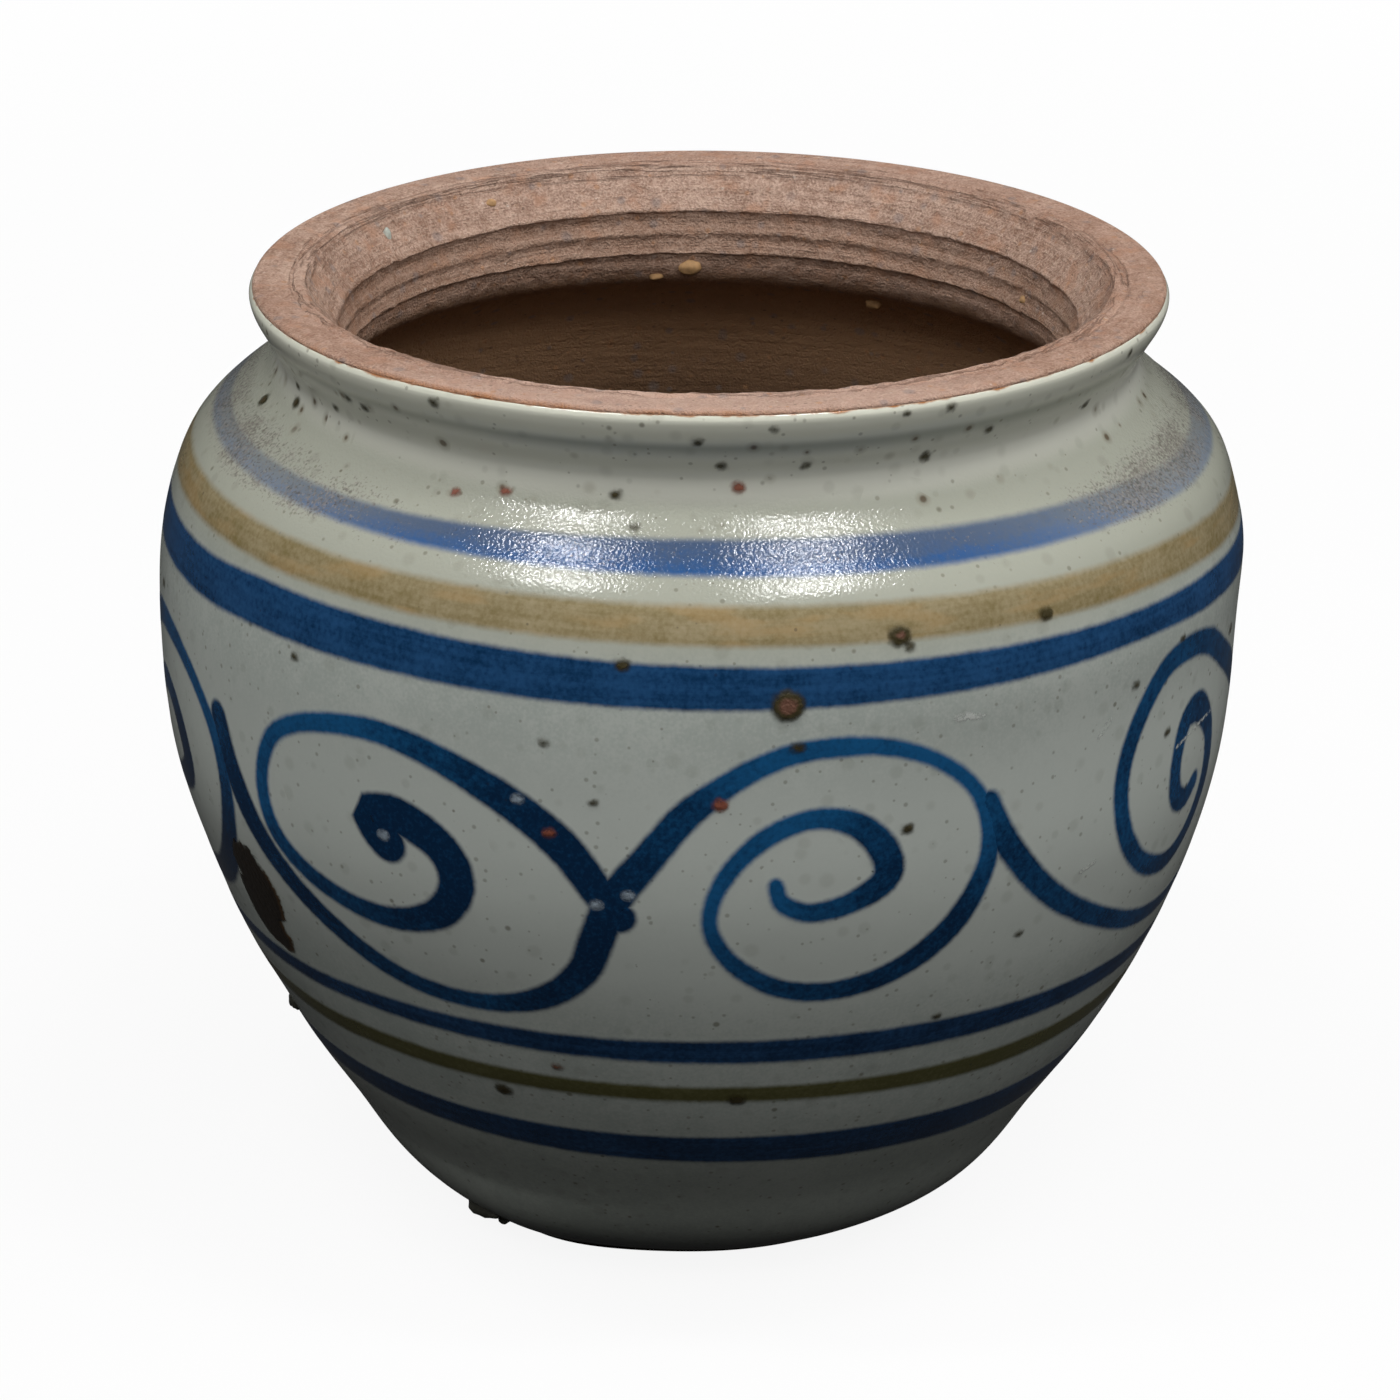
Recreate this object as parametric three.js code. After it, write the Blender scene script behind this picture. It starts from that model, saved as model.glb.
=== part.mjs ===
// A wheel-thrown stoneware jar. The pot is bare clay at the rim, inside and under the foot, and has a
// grey-green glaze outside, with cobalt and iron bands and a running scroll brushed round it.
// Millimetres, +Z up, with the origin at the centre of the foot, on the surface that the jar stands on.
import * as THREE from "three";

// Driving dimensions
const HEIGHT = 124.1; // from the foot to the rim
const BELLY_RADIUS = 70; // at the widest, over the glaze
const LIP_RADIUS = 58.5; // over the rolled lip
const NECK_RADIUS = 55; // at the waist under the lip
const MOUTH_RADIUS = 46.6; // at the narrowest, inside the neck
const FOOT_RADIUS = 31.5; // outside of the ring that the jar stands on
const FOOT_RING_WIDTH = 5.5;
const FOOT_RECESS = 2.5; // how far the base is hollowed inside the ring
const WALL = 6.6; // clay and glaze together, at the rim end of the wall
const WALL_GAIN = 0.2; // share by which the wall is thicker at the foot
const FLOOR_HEIGHT = 8; // of the inside floor, above the foot
const GLAZE = 0.8; // thickness of the glaze coat on the wall
const GLAZE_AT_LIP = 0.3; // and where it runs thin over the lip
const GLAZE_LINE = 2; // height where the glaze stops above the foot
const GLAZE_TOP = HEIGHT - 0.5; // height where it stops under the bare rim
const PIGMENT = 0.3; // thickness of a painted layer
const PIGMENT_GAP = 0.1; // clears the flat facets of the glaze under a brush stroke
const SEGMENTS = 48; // round the jar

const DEGREE = Math.PI / 180;
const at = (radius, height) => new THREE.Vector2(radius, height);

// The outside of the wall over the glaze, from the foot up to the edge of the lip
const LIP_HEIGHT = HEIGHT - 1.7;
const NECK_HEIGHT = HEIGHT - 8.6;
const wall = new THREE.SplineCurve([
  at(FOOT_RADIUS + 1, 0.8),
  at(0.596 * BELLY_RADIUS, 0.06 * HEIGHT),
  at(0.691 * BELLY_RADIUS, 0.139 * HEIGHT),
  at(0.814 * BELLY_RADIUS, 0.249 * HEIGHT),
  at(0.914 * BELLY_RADIUS, 0.378 * HEIGHT),
  at(0.981 * BELLY_RADIUS, 0.517 * HEIGHT),
  at(BELLY_RADIUS, 0.647 * HEIGHT),
  at(0.991 * BELLY_RADIUS, 0.746 * HEIGHT),
  at(0.95 * BELLY_RADIUS, 0.824 * HEIGHT),
  at(0.87 * BELLY_RADIUS, 0.871 * HEIGHT),
  at(NECK_RADIUS + 1.4, 0.904 * HEIGHT),
  at(NECK_RADIUS, NECK_HEIGHT),
  at(NECK_RADIUS + 1.5, NECK_HEIGHT + 3),
  at(LIP_RADIUS - 0.5, LIP_HEIGHT - 1.4),
  at(LIP_RADIUS, LIP_HEIGHT),
  at(LIP_RADIUS - 0.1, HEIGHT - 0.8),
  at(LIP_RADIUS - 0.5, HEIGHT - 0.2),
]);

// The place along the wall's curve, from 0 to 1, that is at a given height
function placeAt(height) {
  let low = 0;
  let high = 1;
  while (high - low > 1e-9) {
    const middle = (low + high) / 2;
    if (wall.getPoint(middle).y < height) low = middle;
    else high = middle;
  }
  return low;
}

// A point of the profile at a place on the wall, sunk into it by a depth square to its surface
function sunk(place, depth) {
  const { x: across, y: up } = wall.getTangent(place);
  return wall.getPoint(place).add(at(-up, across).multiplyScalar(depth));
}

// Evenly spaced points of the profile between two heights, sunk by a depth that depends on the height
function stretch(from, to, steps, depthAt) {
  const first = placeAt(from);
  const last = placeAt(to);
  return Array.from({ length: steps + 1 }, (_, i) => {
    const place = first + ((last - first) * i) / steps;
    return sunk(place, depthAt(wall.getPoint(place).y));
  });
}

// Depths under the surface of the glaze, by height
const onSurface = () => 0;
const overPigment = () => -PIGMENT;
const throughGlaze = (height) => {
  const towardsLip = THREE.MathUtils.smoothstep(height, NECK_HEIGHT, GLAZE_TOP);
  return THREE.MathUtils.lerp(GLAZE, GLAZE_AT_LIP, towardsLip);
};
const throughWall = (height) => WALL * (1 + WALL_GAIN * (1 - height / HEIGHT));

// A solid of revolution about +Z from a profile that runs up its outside
function turned(profile) {
  return new THREE.LatheGeometry(profile, SEGMENTS).rotateX(Math.PI / 2);
}

// Materials
const finish = (color, roughness) => new THREE.MeshStandardMaterial({ color, roughness, metalness: 0 });
const clay = finish(0x8f6a55, 0.85);
const glaze = finish(0xa3a89c, 0.2);
const cobalt = finish(0x1f4a86, 0.22);
const iron = finish(0x7d6a3f, 0.25);

const jar = new THREE.Group();
function addPiece(name, geometry, material) {
  const piece = new THREE.Mesh(geometry, material);
  piece.name = name;
  jar.add(piece);
}

// The thrown pot: a turned foot ring, the wall that the glaze covers, a flat bare rim, a bevel down
// to an arris that a cover would sit on, throwing ridges inside the neck, and the hollow inside.
const WALL_STEPS = 17;
const HOLLOW_STEPS = 14;
const LAND_INNER_RADIUS = 51.5; // of the flat rim
const ARRIS_RADIUS = 47.3;
const ARRIS_DEPTH = 5.6; // below the rim
const RIDGES = 2;
const RIDGE_PITCH = 2.8;
const RIDGE_RELIEF = 0.5;
const SHOULDER_INSIDE = HEIGHT - 17.6; // height where the hollow opens out under the neck
const HAUNCH_INSIDE = 12; // height where the hollow turns in to its floor

function pot() {
  const ringInner = FOOT_RADIUS - FOOT_RING_WIDTH;
  const foot = [
    at(0, FOOT_RECESS),
    at(ringInner - 1.2, FOOT_RECESS),
    at(ringInner, 0),
    at(FOOT_RADIUS, 0),
  ];
  const outside = stretch(GLAZE_LINE, GLAZE_TOP, WALL_STEPS, throughGlaze);
  const rim = [
    at(LIP_RADIUS - 0.8, HEIGHT - 0.3),
    at(LIP_RADIUS - 1.3, HEIGHT),
    at(LAND_INNER_RADIUS + 0.6, HEIGHT),
    at(LAND_INNER_RADIUS, HEIGHT - 0.5),
    at(ARRIS_RADIUS, HEIGHT - ARRIS_DEPTH),
  ];
  const ridges = [];
  for (let i = 0; i < RIDGES; i++) {
    const groove = HEIGHT - ARRIS_DEPTH - (i + 0.45) * RIDGE_PITCH;
    ridges.push(at(MOUTH_RADIUS + RIDGE_RELIEF, groove));
    ridges.push(at(MOUTH_RADIUS, groove - 0.55 * RIDGE_PITCH));
  }
  const hollow = stretch(SHOULDER_INSIDE, HAUNCH_INSIDE, HOLLOW_STEPS, throughWall);
  const floor = [
    at(FOOT_RADIUS - 4, FLOOR_HEIGHT + 0.8),
    at(FOOT_RADIUS - 11, FLOOR_HEIGHT),
    at(0, FLOOR_HEIGHT),
  ];
  return turned([...foot, ...outside, ...rim, ...ridges, ...hollow, ...floor]);
}
addPiece("stoneware_body", pot(), clay);

// Painted bands, from the shoulder down to the foot, each with the heights of its two edges
const BANDS = [
  { name: "shoulder_cobalt_band", low: 106.2, high: 109.2, material: cobalt },
  { name: "shoulder_iron_band", low: 99.4, high: 103.5, material: iron },
  { name: "belt_cobalt_band", low: 92.5, high: 97.5, material: cobalt },
  { name: "lower_cobalt_band", low: 42.9, high: 46.6, material: cobalt },
  { name: "lower_iron_band", low: 35.6, high: 38.5, material: iron },
  { name: "foot_cobalt_band", low: 24.3, high: 29.2, material: cobalt },
];
const COAT_STEPS = 30; // along the whole wall
const stepsBetween = (low, high) => Math.max(1, Math.round((placeAt(high) - placeAt(low)) * COAT_STEPS));

// The glaze coat: a skin from the foot line to the rim, which lies on the clay and has a line of
// points at each edge of a band, so that the bands lie on it all over
function glazeCoat() {
  const edges = BANDS.flatMap(({ low, high }) => [low, high]);
  const lines = [GLAZE_LINE, ...edges, GLAZE_TOP].sort((a, b) => a - b);
  const outside = lines.slice(1).flatMap((high, i) => {
    const low = lines[i];
    return stretch(low, high, stepsBetween(low, high), onSurface).slice(i === 0 ? 0 : 1);
  });
  const inside = stretch(GLAZE_LINE, GLAZE_TOP, WALL_STEPS, throughGlaze).reverse();
  return turned([...outside, ...inside, outside[0]]);
}
addPiece("glaze_coat", glazeCoat(), glaze);

// A painted band: a ring of pigment on the glaze
function paintedBand(low, high) {
  const steps = stepsBetween(low, high);
  const outside = stretch(low, high, steps, overPigment);
  const inside = stretch(low, high, steps, onSurface).reverse();
  return turned([...outside, ...inside, outside[0]]);
}
for (const { name, low, high, material } of BANDS) addPiece(name, paintedBand(low, high), material);

// The running scroll as brush strokes, each a list of places with the width of the brush mark there.
// A curl's places are degrees round the jar and height. The left curl winds out from a fat inner end
// and the right curl winds in to a fine one.
const LEFT_CURL = [
  [-35.5, 74.4, 5], [-30, 74.8, 4.6], [-25.6, 71.6, 4.4], [-24.2, 67.2, 4.4], [-26.4, 62.4, 3.8],
  [-31, 60, 3.2], [-37, 60, 2.8], [-43.5, 62.3, 2.6], [-48, 66.4, 2.4], [-49.4, 72, 2.2], [-48, 78, 2],
  [-44.2, 81.8, 2], [-38, 84.2, 2.2], [-32, 84.6, 2.6], [-25.5, 82.9, 3.2], [-18.5, 79, 4], [-13, 74.4, 3.8],
];
const RIGHT_CURL = [
  [-6.2, 70.6, 3], [-4.2, 74.4, 3.2], [-0.6, 79.8, 3.2], [4, 84.2, 2.6], [9, 86.8, 2.2], [14.6, 87.5, 2],
  [20.2, 86.3, 1.6], [25.2, 83.2, 1.4], [28.8, 78.8, 1.6], [30.3, 73.4, 2.2], [29.8, 68, 2.6],
  [27.2, 61.8, 3.2], [22.4, 56.9, 3], [16.2, 54.5, 2.6], [10, 54.8, 2.4], [5.2, 57.8, 2.2], [2.3, 62, 1.6],
  [1.6, 66.6, 1.4], [3.4, 72, 1.8], [7, 76.4, 2], [11.6, 78.3, 2], [15.8, 77, 2.6], [18.6, 73.2, 3.4],
  [18.4, 69.4, 3.4], [15, 66.9, 2.6], [11.2, 66.2, 2.2], [8.7, 67.6, 1.8], [8, 70, 1.2],
];

// The sweep runs under the left curl, from the right curl of the repeat before it to the place where
// its own two curls part. Its places are shares of that way and height.
const SWEEP = [
  [0, 76.6, 2.6], [0.03, 70.4, 3], [0.1, 63.6, 2.8], [0.23, 57.4, 2.6], [0.38, 52.6, 2.4], [0.55, 50.2, 2.2],
  [0.71, 50, 2.4], [0.85, 52.2, 3], [0.95, 56.6, 3.2], [0.99, 62, 3.4], [1, 66.4, 3],
];
const SWEEP_START = 32.8; // degrees, just clear of the right curl before it
const SWEEP_END = -9.6;

// How the four repeats were set round the jar: degrees, and how much higher each curl was drawn
const REPEATS = [
  { turn: 0, leftLift: 0, rightLift: 0 },
  { turn: 96, leftLift: 1.5, rightLift: 0.8 },
  { turn: 185, leftLift: -0.6, rightLift: -1.2 },
  { turn: 272.5, leftLift: -1.5, rightLift: -4.5 },
];
const STROKE_STEP = 3.4; // degrees or millimetres of brush path to a facet

// A point on the glaze, lifted square to it
function onGlaze(angle, height, lift) {
  const { x: radius, y: up } = sunk(placeAt(height), -lift);
  return new THREE.Vector3(radius * Math.sin(angle * DEGREE), -radius * Math.cos(angle * DEGREE), up);
}

// A brush stroke: a flat ribbon of pigment along its path, closed at both ends
function brushStroke(path) {
  const line = new THREE.CatmullRomCurve3(path.map((place) => new THREE.Vector3(...place)));
  const steps = Math.round(line.getLength() / STROKE_STEP);
  const corners = [];
  for (let i = 0; i <= steps; i++) {
    const { x: angle, y: height, z: width } = line.getPointAt(i / steps);
    const ahead = line.getTangentAt(i / steps);
    const place = placeAt(height);
    const degreeLength = wall.getPoint(place).x * DEGREE;
    const rise = wall.getTangent(place).y; // height gained along the wall
    const along = new THREE.Vector2(ahead.x * degreeLength, ahead.y / rise).normalize();
    const edge = (side, lift) =>
      onGlaze(
        angle + (side * along.y * width) / 2 / degreeLength,
        height - ((side * along.x * width) / 2) * rise,
        lift,
      );
    const top = PIGMENT_GAP + PIGMENT;
    corners.push(edge(1, PIGMENT_GAP), edge(-1, PIGMENT_GAP), edge(-1, top), edge(1, top));
  }
  const faces = [0, 2, 1, 0, 3, 2];
  for (let first = 0; first < 4 * steps; first += 4) {
    for (let k = 0; k < 4; k++) {
      const here = first + k;
      const next = first + ((k + 1) % 4);
      faces.push(here, next, next + 4, here, next + 4, here + 4);
    }
  }
  const end = 4 * steps;
  faces.push(end, end + 1, end + 2, end, end + 2, end + 3);
  return new THREE.BufferGeometry().setFromPoints(corners).setIndex(faces);
}

REPEATS.forEach(({ turn, leftLift, rightLift }, i) => {
  const curl = (path, lift) => path.map(([angle, height, width]) => [angle + turn, height + lift, width]);
  const before = i === 0 ? REPEATS.at(-1).turn - 360 : REPEATS[i - 1].turn;
  const sweep = SWEEP.map(([share, height, width]) => {
    const angle = THREE.MathUtils.lerp(before + SWEEP_START, turn + SWEEP_END, share);
    return [angle, height, width];
  });
  addPiece(`scroll_left_curl_${i + 1}`, brushStroke(curl(LEFT_CURL, leftLift)), cobalt);
  addPiece(`scroll_sweep_${i + 1}`, brushStroke(sweep), cobalt);
  addPiece(`scroll_right_curl_${i + 1}`, brushStroke(curl(RIGHT_CURL, rightLift)), cobalt);
});

export default jar;
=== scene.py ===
from math import atan2, cos, exp, hypot, pi, radians, sin, sqrt

import bmesh
import bpy
from mathutils import Matrix, Vector, noise


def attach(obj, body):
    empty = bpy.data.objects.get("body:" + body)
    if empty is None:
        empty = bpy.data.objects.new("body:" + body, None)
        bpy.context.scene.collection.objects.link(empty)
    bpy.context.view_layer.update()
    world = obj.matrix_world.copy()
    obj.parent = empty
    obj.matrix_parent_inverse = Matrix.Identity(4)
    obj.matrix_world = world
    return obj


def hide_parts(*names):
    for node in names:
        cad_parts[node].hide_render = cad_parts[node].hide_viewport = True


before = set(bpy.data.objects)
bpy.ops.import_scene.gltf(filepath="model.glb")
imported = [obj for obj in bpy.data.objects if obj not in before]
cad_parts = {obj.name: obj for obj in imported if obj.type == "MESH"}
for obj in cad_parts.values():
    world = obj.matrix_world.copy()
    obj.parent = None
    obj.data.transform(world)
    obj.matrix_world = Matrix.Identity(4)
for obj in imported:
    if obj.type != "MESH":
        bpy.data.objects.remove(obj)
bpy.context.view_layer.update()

# The pot: one turned piece of stoneware clay, thrown on a wheel and trimmed at the foot. It is bare
# on the flat rim, on the bevel inside it and in the hollow, where the potter's fingers left ridges.
MM = 0.001
WALL_POINTS = [  # radius and height over the glaze, from the foot to the lip
    (32.5, 0.8), (41.7, 7.4), (48.4, 17.3), (57, 30.9), (64, 46.9), (68.7, 64.2), (70, 80.3),
    (69.4, 92.6), (66.5, 102.3), (60.9, 108.1), (56.4, 112.2), (55, 115.5), (56.5, 118.5),
    (58, 121), (58.5, 122.4), (58.4, 123.3), (58, 123.9),
]
GLAZE_LINE = 2
GLAZE_TOP = 123.6


def smooth_line(points, steps):
    """A smooth line through points of any size, with that many steps to each span."""
    ends = [points[0], *points, points[-1]]
    line = []
    for before, start, end, after in zip(ends, ends[1:], ends[2:], ends[3:]):
        for step in range(steps):
            t = step / steps
            line.append(tuple(
                0.5 * (2 * b + (c - a) * t + (2 * a - 5 * b + 4 * c - d) * t**2
                       + (3 * b - a - 3 * c + d) * t**3)
                for a, b, c, d in zip(before, start, end, after)
            ))
    return [*line, tuple(points[-1])]


WALL = smooth_line(WALL_POINTS, 40)


def wall_at(height):
    """Radius of the wall at a height, and its slope there as steps outwards and upwards."""
    low, high = 0, len(WALL) - 2
    while low < high:
        middle = (low + high + 1) // 2
        low, high = (middle, high) if WALL[middle][1] <= height else (low, middle - 1)
    (r0, z0), (r1, z1) = WALL[low], WALL[low + 1]
    share = (height - z0) / (z1 - z0)
    length = hypot(r1 - r0, z1 - z0)
    return r0 + share * (r1 - r0), (r1 - r0) / length, (z1 - z0) / length


def under_wall(height, depth):
    """Radius and height of a point that lies square under the wall's surface."""
    radius, outwards, upwards = wall_at(height)
    return radius - depth * upwards, height + depth * outwards


def between(value, low, high):
    """0 at low, 1 at high and straight between."""
    return min(1, max(0, (value - low) / (high - low)))


def glaze_depth(height):
    """Thickness of the glaze, which runs thin over the lip."""
    return 0.1 + 0.7 * between(height, GLAZE_TOP, GLAZE_TOP - 4)


TRUE_RADIUS = 20  # nearer to the axis than this, the jar is a true round
SIDE_SWELLS = [  # height, reach up and down, and how far the wall stands out at the right and the left
    (80, 16, -0.6, 0.6), (104, 5, 0.8, 0), (93, 6, 0.7, 0), (60, 10, 0, 0.6), (32, 6, 0, -0.4),
]
FOOT_SWELL = 2.3  # how far the foot stands out at the front left
FOOT_SWELL_TURN = -0.6
FOOT_SWELL_REACH = 0.36
FOOT_SWELL_TOP = 14
RIM_RAISED_RIGHT = 0.7
RIM_RAISED_FRONT = 0.15
LIP_RAISED_FRONT = 1.2


def by_hand(place):
    """Where the hand-thrown jar has a place of a true round one, in metres: uneven, the rim askew."""
    radius, height = place.xy.length, place.z
    if radius < TRUE_RADIUS:
        return place * MM
    turn = atan2(place.x, -place.y)
    right, left, front = max(0, sin(turn)), max(0, -sin(turn)), max(0, cos(turn))
    oval = 0.22 * cos(2 * turn + 0.7) + 0.1 * cos(3 * turn + 2)
    uneven = 0.16 * noise.noise((1.3 * cos(turn), 1.3 * sin(turn), height / 14))
    out = (oval + uneven) * between(height, 0, 30)
    for middle, reach, at_right, at_left in SIDE_SWELLS:
        out += (at_right * right + at_left * left) * exp(-((height - middle) / reach) ** 2)
    foot = exp(-((turn - FOOT_SWELL_TURN) / FOOT_SWELL_REACH) ** 2)
    out += FOOT_SWELL * foot * between(height, FOOT_SWELL_TOP, 0)
    raised = RIM_RAISED_RIGHT * sin(turn) + RIM_RAISED_FRONT * cos(turn)
    up = raised * between(height, 107, 117) + LIP_RAISED_FRONT * front * between(height, 116, 122)
    stretched = 1 + out / radius
    return Vector((place.x * stretched, place.y * stretched, height + up)) * MM


def on_wall(angle, height, lift):
    """A place on the wall, angle in degrees from the front, lifted square to it, in metres."""
    radius, up = under_wall(height, -lift)
    turn = radians(angle)
    return by_hand(Vector((radius * sin(turn), -radius * cos(turn), up)))


def turned(profile, steps):
    """A closed profile of radius and height turned round the jar's axis into a mesh, in millimetres."""
    shape = bmesh.new()
    ring = [shape.verts.new((r, 0, z)) for r, z in profile]
    line = [shape.edges.new(pair) for pair in zip(ring, ring[1:])]
    if profile[0][0] > 0:
        line.append(shape.edges.new((ring[-1], ring[0])))
    bmesh.ops.spin(shape, geom=ring + line, cent=(0, 0, 0), axis=(0, 0, 1),
                   angle=2 * pi, steps=steps, use_merge=True)
    bmesh.ops.remove_doubles(shape, verts=shape.verts, dist=1e-4)
    bmesh.ops.recalc_face_normals(shape, faces=shape.faces)
    for face in shape.faces:
        face.smooth = True
    return shape


def made(name, shape, material):
    """The finished piece from its mesh."""
    mesh = bpy.data.meshes.new(name)
    shape.to_mesh(mesh)
    shape.free()
    mesh.materials.append(material)
    piece = bpy.data.objects.new(name, mesh)
    bpy.context.scene.collection.objects.link(piece)
    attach(piece, "root")
    return piece


class Value:
    """A socket of a material that takes part in sums as a number does."""

    def __init__(self, socket):
        self.socket = socket

    def node(self, kind, settings, sockets, output=0):
        """Any node of the same material, as the value of one of its outputs."""
        tree = self.socket.id_data
        node = tree.nodes.new(kind)
        for name, setting in settings.items():
            setattr(node, name, setting)
        for key, value in sockets.items():
            if isinstance(value, Value):
                tree.links.new(value.socket, node.inputs[key])
            else:
                node.inputs[key].default_value = value
        return Value(node.outputs[output])

    def math(self, operation, first, second):
        return self.node("ShaderNodeMath", {"operation": operation}, {0: first, 1: second})

    def __add__(self, other):
        return self.math("ADD", self, other)

    def __sub__(self, other):
        return self.math("SUBTRACT", self, other)

    def __rsub__(self, other):
        return self.math("SUBTRACT", other, self)

    def __mul__(self, other):
        return self.math("MULTIPLY", self, other)

    def __truediv__(self, other):
        return self.math("DIVIDE", self, other)

    __radd__ = __add__
    __rmul__ = __mul__

    def step(self, low, high):
        """0 at low, 1 at high, and smooth between."""
        return self.node("ShaderNodeMapRange", {"interpolation_type": "SMOOTHSTEP"},
                         {"Value": self, "From Min": low, "From Max": high})

    def least(self, other):
        return self.math("MINIMUM", self, other)

    def most(self, other):
        return self.math("MAXIMUM", self, other)

    def mix(self, first, second):
        """The first colour where this is 0 and the second where it is 1."""
        sockets = {0: self, 6: first, 7: second}
        return self.node("ShaderNodeMix", {"data_type": "RGBA"}, sockets, 2)

    def part(self, number):
        """One of the three numbers of a place."""
        return self.node("ShaderNodeSeparateXYZ", {}, {0: self}, number)

    def stretch(self, x, y, z):
        """A place with its three axes stretched."""
        return self.node("ShaderNodeVectorMath", {"operation": "MULTIPLY"}, {0: self, 1: (x, y, z)})

    def cloud(self, size, detail=2):
        """Soft noise from 0 to 1 with blots of about that size, in millimetres."""
        return self.node("ShaderNodeTexNoise", {},
                         {"Vector": self, "Scale": 1 / size, "Detail": detail})

    def grains(self, size):
        """A number from 0 to 1 that each grain of about that size, in millimetres, draws by lot."""
        lot = self.node("ShaderNodeTexVoronoi", {}, {"Vector": self, "Scale": 1 / size}, 1)
        return self.node("ShaderNodeSeparateColor", {}, {0: lot}, 1)

    def spots(self, spacing, radius, share):
        """Soft round spots, 1 inside, in a share of cells that are that far apart, in millimetres."""
        far = self.node("ShaderNodeTexVoronoi", {}, {"Vector": self, "Scale": 1 / spacing})
        lot = Value(far.socket.node.outputs["Color"])
        picked = self.node("ShaderNodeSeparateColor", {}, {0: lot})
        size = Value(picked.socket.node.outputs[1])
        edge = (0.35 + 0.65 * size) * (radius / spacing)
        return (1 - (far / edge).step(0.4, 1)) * picked.step(1 - share, 1.02 - share)


def colour(red, green, blue):
    return (red, green, blue, 1)


def material(name, roughness):
    """A new material: its shader, its place on the jar in millimetres and its height."""
    made_of = bpy.data.materials.new(name)
    made_of.use_nodes = True
    shader = made_of.node_tree.nodes["Principled BSDF"]
    shader.inputs["Roughness"].default_value = roughness
    where = made_of.node_tree.nodes.new("ShaderNodeTexCoord")
    place = Value(where.outputs["Object"]).stretch(1000, 1000, 1000)
    return made_of, shader, place, place.part(2)


def feed(shader, socket, value):
    """What changes over the surface goes to one of the shader's sockets."""
    shader.id_data.links.new(value.socket, shader.inputs[socket])


def bump(height, depth):
    """A surface normal from a height of 0 to 1, which stands for a depth in millimetres."""
    return height.node("ShaderNodeBump", {}, {"Height": height, "Distance": depth * MM})


CLAY_DARK = colour(0.28, 0.155, 0.102)
CLAY_PALE = colour(0.61, 0.425, 0.33)
CLAY_BACK_PAINTED_LIGHT = colour(0.7, 0.54, 0.46)
CLAY_BLUSH = colour(0.5, 0.265, 0.165)
LAND_BROWN = colour(0.38, 0.2, 0.135)
LAND_FRONT_PAINTED_LIGHT = colour(0.66, 0.47, 0.385)
RIDGE_BROWN = colour(0.24, 0.135, 0.08)
HOLLOW_SHADE_DARK = colour(0.07, 0.04, 0.023)
HOLLOW_SHADE_BROWN = colour(0.15, 0.09, 0.056)
HOLLOW_TOP_PAINTED_LIGHT = colour(0.56, 0.33, 0.18)
GREY_GRAIN = colour(0.22, 0.205, 0.21)
ORANGE_GRAIN = colour(0.5, 0.25, 0.12)
DARK_GRAIN = colour(0.14, 0.085, 0.06)
PALE_GRAIN = colour(0.7, 0.58, 0.49)
CREASE_SHADE = colour(0.15, 0.085, 0.055)
FLASH_ORANGE = colour(0.46, 0.2, 0.085)


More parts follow.
